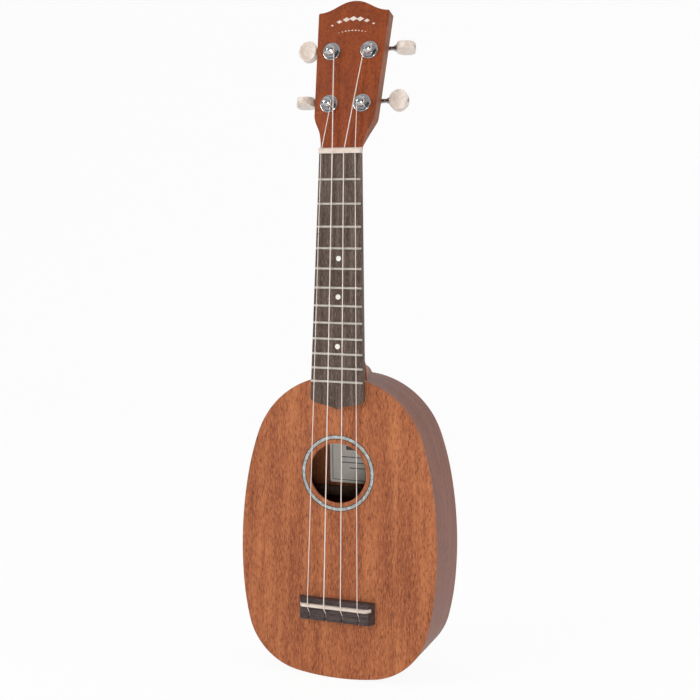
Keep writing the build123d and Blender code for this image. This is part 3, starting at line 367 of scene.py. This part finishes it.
def lozenge_row(name, height, sizes):
    """A row of thin bone lozenges in an arc on the headstock's face, largest in the middle."""
    tree, given, result = node_group(name, sizes)
    lozenge_width = 0.62            # share of its length
    lie_on_face = (math.pi / 2 - head_tilt, 0.0, 0.0)

    index = add_node(tree, "GeometryNodeInputIndex").outputs[0]
    last = add_node(tree, "ShaderNodeMath", {0: given["Count"], 1: 1.0}, operation="SUBTRACT").outputs[0]
    middle = add_node(tree, "ShaderNodeMath", {0: last, 1: 0.5}, operation="MULTIPLY").outputs[0]
    steps = add_node(tree, "ShaderNodeMath", {0: index, 1: middle}, operation="SUBTRACT").outputs[0]
    side = add_node(tree, "ShaderNodeMath", {0: steps, 1: given["Spacing"]}, operation="MULTIPLY").outputs[0]
    # From -1 at one end of the row to 1 at the other, and its square.
    along = add_node(tree, "ShaderNodeMath", {0: steps, 1: middle}, operation="DIVIDE").outputs[0]
    far = add_node(tree, "ShaderNodeMath", {0: along, 1: along}, operation="MULTIPLY").outputs[0]
    drop = add_node(tree, "ShaderNodeMath", {0: far, 1: given["Rise"]}, operation="MULTIPLY").outputs[0]
    up = add_node(tree, "ShaderNodeMath", {0: drop, 1: -1.0}, operation="MULTIPLY").outputs[0]
    seat = add_node(tree, "ShaderNodeCombineXYZ", {"X": side, "Y": up}).outputs[0]
    loss = add_node(tree, "ShaderNodeMath", {0: far, 1: given["Taper"]}, operation="MULTIPLY").outputs[0]
    length = add_node(tree, "ShaderNodeMath", {0: 1.0, 1: loss}, operation="SUBTRACT").outputs[0]
    width = add_node(tree, "ShaderNodeMath", {0: length, 1: lozenge_width}, operation="MULTIPLY").outputs[0]
    scale = add_node(tree, "ShaderNodeCombineXYZ", {"X": length, "Y": width, "Z": 1.0}).outputs[0]

    points = add_node(tree, "GeometryNodeMeshLine", {"Count": given["Count"]}).outputs[0]
    points = add_node(tree, "GeometryNodeSetPosition", {"Geometry": points, "Position": seat}).outputs[0]
    lozenge = add_node(tree, "GeometryNodeMeshCylinder", {
        "Vertices": 4, "Radius": given["Half Length"], "Depth": given["Thickness"]}).outputs[0]
    laid = add_node(tree, "GeometryNodeInstanceOnPoints", {
        "Points": points, "Instance": lozenge, "Scale": scale}).outputs[0]
    real = add_node(tree, "GeometryNodeRealizeInstances", {"Geometry": laid}).outputs[0]
    put = add_node(tree, "GeometryNodeTransform", {
        "Geometry": real, "Translation": head_start + head_up * height, "Rotation": lie_on_face}).outputs[0]
    done = add_node(tree, "GeometryNodeSetMaterial", {"Geometry": put, "Material": bone}).outputs[0]
    set_inputs(tree, result, {"Geometry": done})

    row = bpy.data.objects.new(name, bpy.data.meshes.new(name))
    bpy.context.scene.collection.objects.link(row)
    modifier = row.modifiers.new(name, "NODES")
    modifier.node_group = tree
    for item in tree.interface.items_tree:
        if item.in_out == "INPUT":
            modifier[item.identifier] = sizes[item.name]
    bpy.context.view_layer.update()
    shape = bpy.data.meshes.new_from_object(row.evaluated_get(bpy.context.evaluated_depsgraph_get()))
    row.modifiers.clear()
    row.data = shape
    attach(row, "instrument")


inlay_thickness = 0.12 * MM
lozenge_row("inlay_lozenges", 103.0 * MM, {
    "Count": 7, "Spacing": 5.6 * MM, "Rise": 4.8 * MM, "Half Length": 3.3 * MM,
    "Thickness": inlay_thickness, "Taper": 0.62})
lozenge_row("inlay_beads", 93.5 * MM, {
    "Count": 9, "Spacing": 2.7 * MM, "Rise": 1.6 * MM, "Half Length": 1.0 * MM,
    "Thickness": inlay_thickness, "Taper": 0.4})


# ---------------------------------------------------------------- studio
def stage_material():
    """White seamless paper that stays white to the eye and keeps a soft shadow."""
    material, tree, shader = new_material("white_seamless_paper")
    tree.nodes.remove(shader)
    seen_white = 0.93               # share of plain white where the paper is seen, so the rest takes shadow
    tooth = soft_spots(tree, [2.0] * 3, 2.0)
    colour = add_node(tree, "ShaderNodeValToRGB", {"Fac": tooth}, two_tones("#F6F6F6", "#FBFBFB"))
    matt = add_node(tree, "ShaderNodeBsdfDiffuse", {"Color": colour.outputs["Color"]})
    white = add_node(tree, "ShaderNodeEmission", {"Color": "#FFFFFF", "Strength": 1.0})
    path = add_node(tree, "ShaderNodeLightPath").outputs
    seen = path["Is Camera Ray"]
    for ray in ("Is Glossy Ray", "Is Transmission Ray"):
        seen = add_node(tree, "ShaderNodeMath", {0: seen, 1: path[ray]}, operation="MAXIMUM").outputs[0]
    share = add_node(tree, "ShaderNodeMath", {0: seen, 1: seen_white}, operation="MULTIPLY").outputs[0]
    mixed = add_node(tree, "ShaderNodeMixShader", {0: share, 1: matt.outputs[0], 2: white.outputs[0]})
    set_inputs(tree, tree.nodes["Material Output"], {"Surface": mixed.outputs[0]})
    return material


def studio_sweep():
    """A floor that curves up into a backdrop well behind the instrument."""
    floor_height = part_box("back_plate")[0].z - 0.2 * MM
    front, back, bend, half_width, top = -3.0, 2.2, 0.8, 4.0, 3.5
    bend_steps = 12
    profile = [(front, 0.0)]
    for step in range(bend_steps + 1):
        angle = math.pi / 2 * step / bend_steps
        profile.append((back - bend + bend * math.sin(angle), bend - bend * math.cos(angle)))
    profile.append((back, top))
    vertices = [(x, y, z + floor_height) for x in (-half_width, half_width) for y, z in profile]
    count = len(profile)
    faces = [(i, i + count, i + count + 1, i + 1) for i in range(count - 1)]
    mesh = bpy.data.meshes.new("studio_sweep")
    mesh.from_pydata(vertices, [], faces)
    mesh.shade_smooth()
    mesh.materials.append(stage_material())
    sweep = bpy.data.objects.new("studio_sweep", mesh)
    bpy.context.scene.collection.objects.link(sweep)


def soft_lamp(name, place, target, size, watts):
    """A square softbox that faces the target."""
    lamp = bpy.data.lights.new(name, "AREA")
    lamp.shape = "SQUARE"
    lamp.size = size
    lamp.energy = watts
    holder = bpy.data.objects.new(name, lamp)
    holder.location = place
    holder.rotation_euler = (Vector(target) - Vector(place)).to_track_quat("-Z", "Y").to_euler()
    bpy.context.scene.collection.objects.link(holder)


def studio_world():
    """A grey studio, brighter overhead, which the camera sees as white."""
    world = bpy.data.worlds.new("studio")
    world.use_nodes = True
    bpy.context.scene.world = world
    tree = world.node_tree
    direction = add_node(tree, "ShaderNodeTexCoord").outputs["Generated"]
    height = add_node(tree, "ShaderNodeSeparateXYZ", {0: direction}).outputs["Z"]
    level = add_node(tree, "ShaderNodeMapRange", {"Value": height, "From Min": -1.0, "From Max": 1.0})
    room = add_node(tree, "ShaderNodeValToRGB", {"Fac": level.outputs["Result"]},
                    [(0.6, "#505050"), (0.95, "#E8E8E8")])
    camera_ray = add_node(tree, "ShaderNodeLightPath").outputs["Is Camera Ray"]
    seen = add_node(tree, "ShaderNodeMix", {
        "Factor": camera_ray, UNDER: room.outputs["Color"], OVER: "#FFFFFF"}, data_type="RGBA")
    set_inputs(tree, tree.nodes["Background"], {"Color": seen.outputs[MIXED], "Strength": 1.0})


def studio_camera():
    """A long lens in front of the instrument, to its treble side."""
    place = Vector((318.44, -857.93, -78.82)) * MM
    yaw, pitch, roll = math.radians(19.65), math.radians(4.0), math.radians(0.758)
    forward = Vector((-math.sin(yaw) * math.cos(pitch), math.cos(yaw) * math.cos(pitch), -math.sin(pitch)))
    level = Vector((math.cos(yaw), math.sin(yaw), 0))
    upright = level.cross(forward)
    right = level * math.cos(roll) + upright * math.sin(roll)
    up = upright * math.cos(roll) - level * math.sin(roll)
    lens = bpy.data.cameras.new("camera")
    lens.sensor_width = 36.0
    lens.lens = 61.941
    lens.shift_x = -0.00346
    lens.shift_y = -0.01061
    lens.clip_start = 0.01
    camera = bpy.data.objects.new("camera", lens)
    camera.matrix_world = Matrix((
        (right.x, up.x, -forward.x, place.x),
        (right.y, up.y, -forward.y, place.y),
        (right.z, up.z, -forward.z, place.z),
        (0, 0, 0, 1),
    ))
    bpy.context.scene.collection.objects.link(camera)
    bpy.context.scene.camera = camera


studio_sweep()
# Place and target in metres, size in metres, watts.
soft_lamp("key_softbox", (-1.7, -1.7, 0.75), (0, 0, -0.24), 0.9, 30)
soft_lamp("fill_softbox", (0.62, -1.6, -0.36), (0, 0, -0.3), 0.5, 15)
soft_lamp("side_softbox", (1.6, 0.0, 0.4), (0, 0, -0.2), 0.9, 6.5)
studio_world()
studio_camera()
bpy.context.scene.view_settings.view_transform = "Standard"
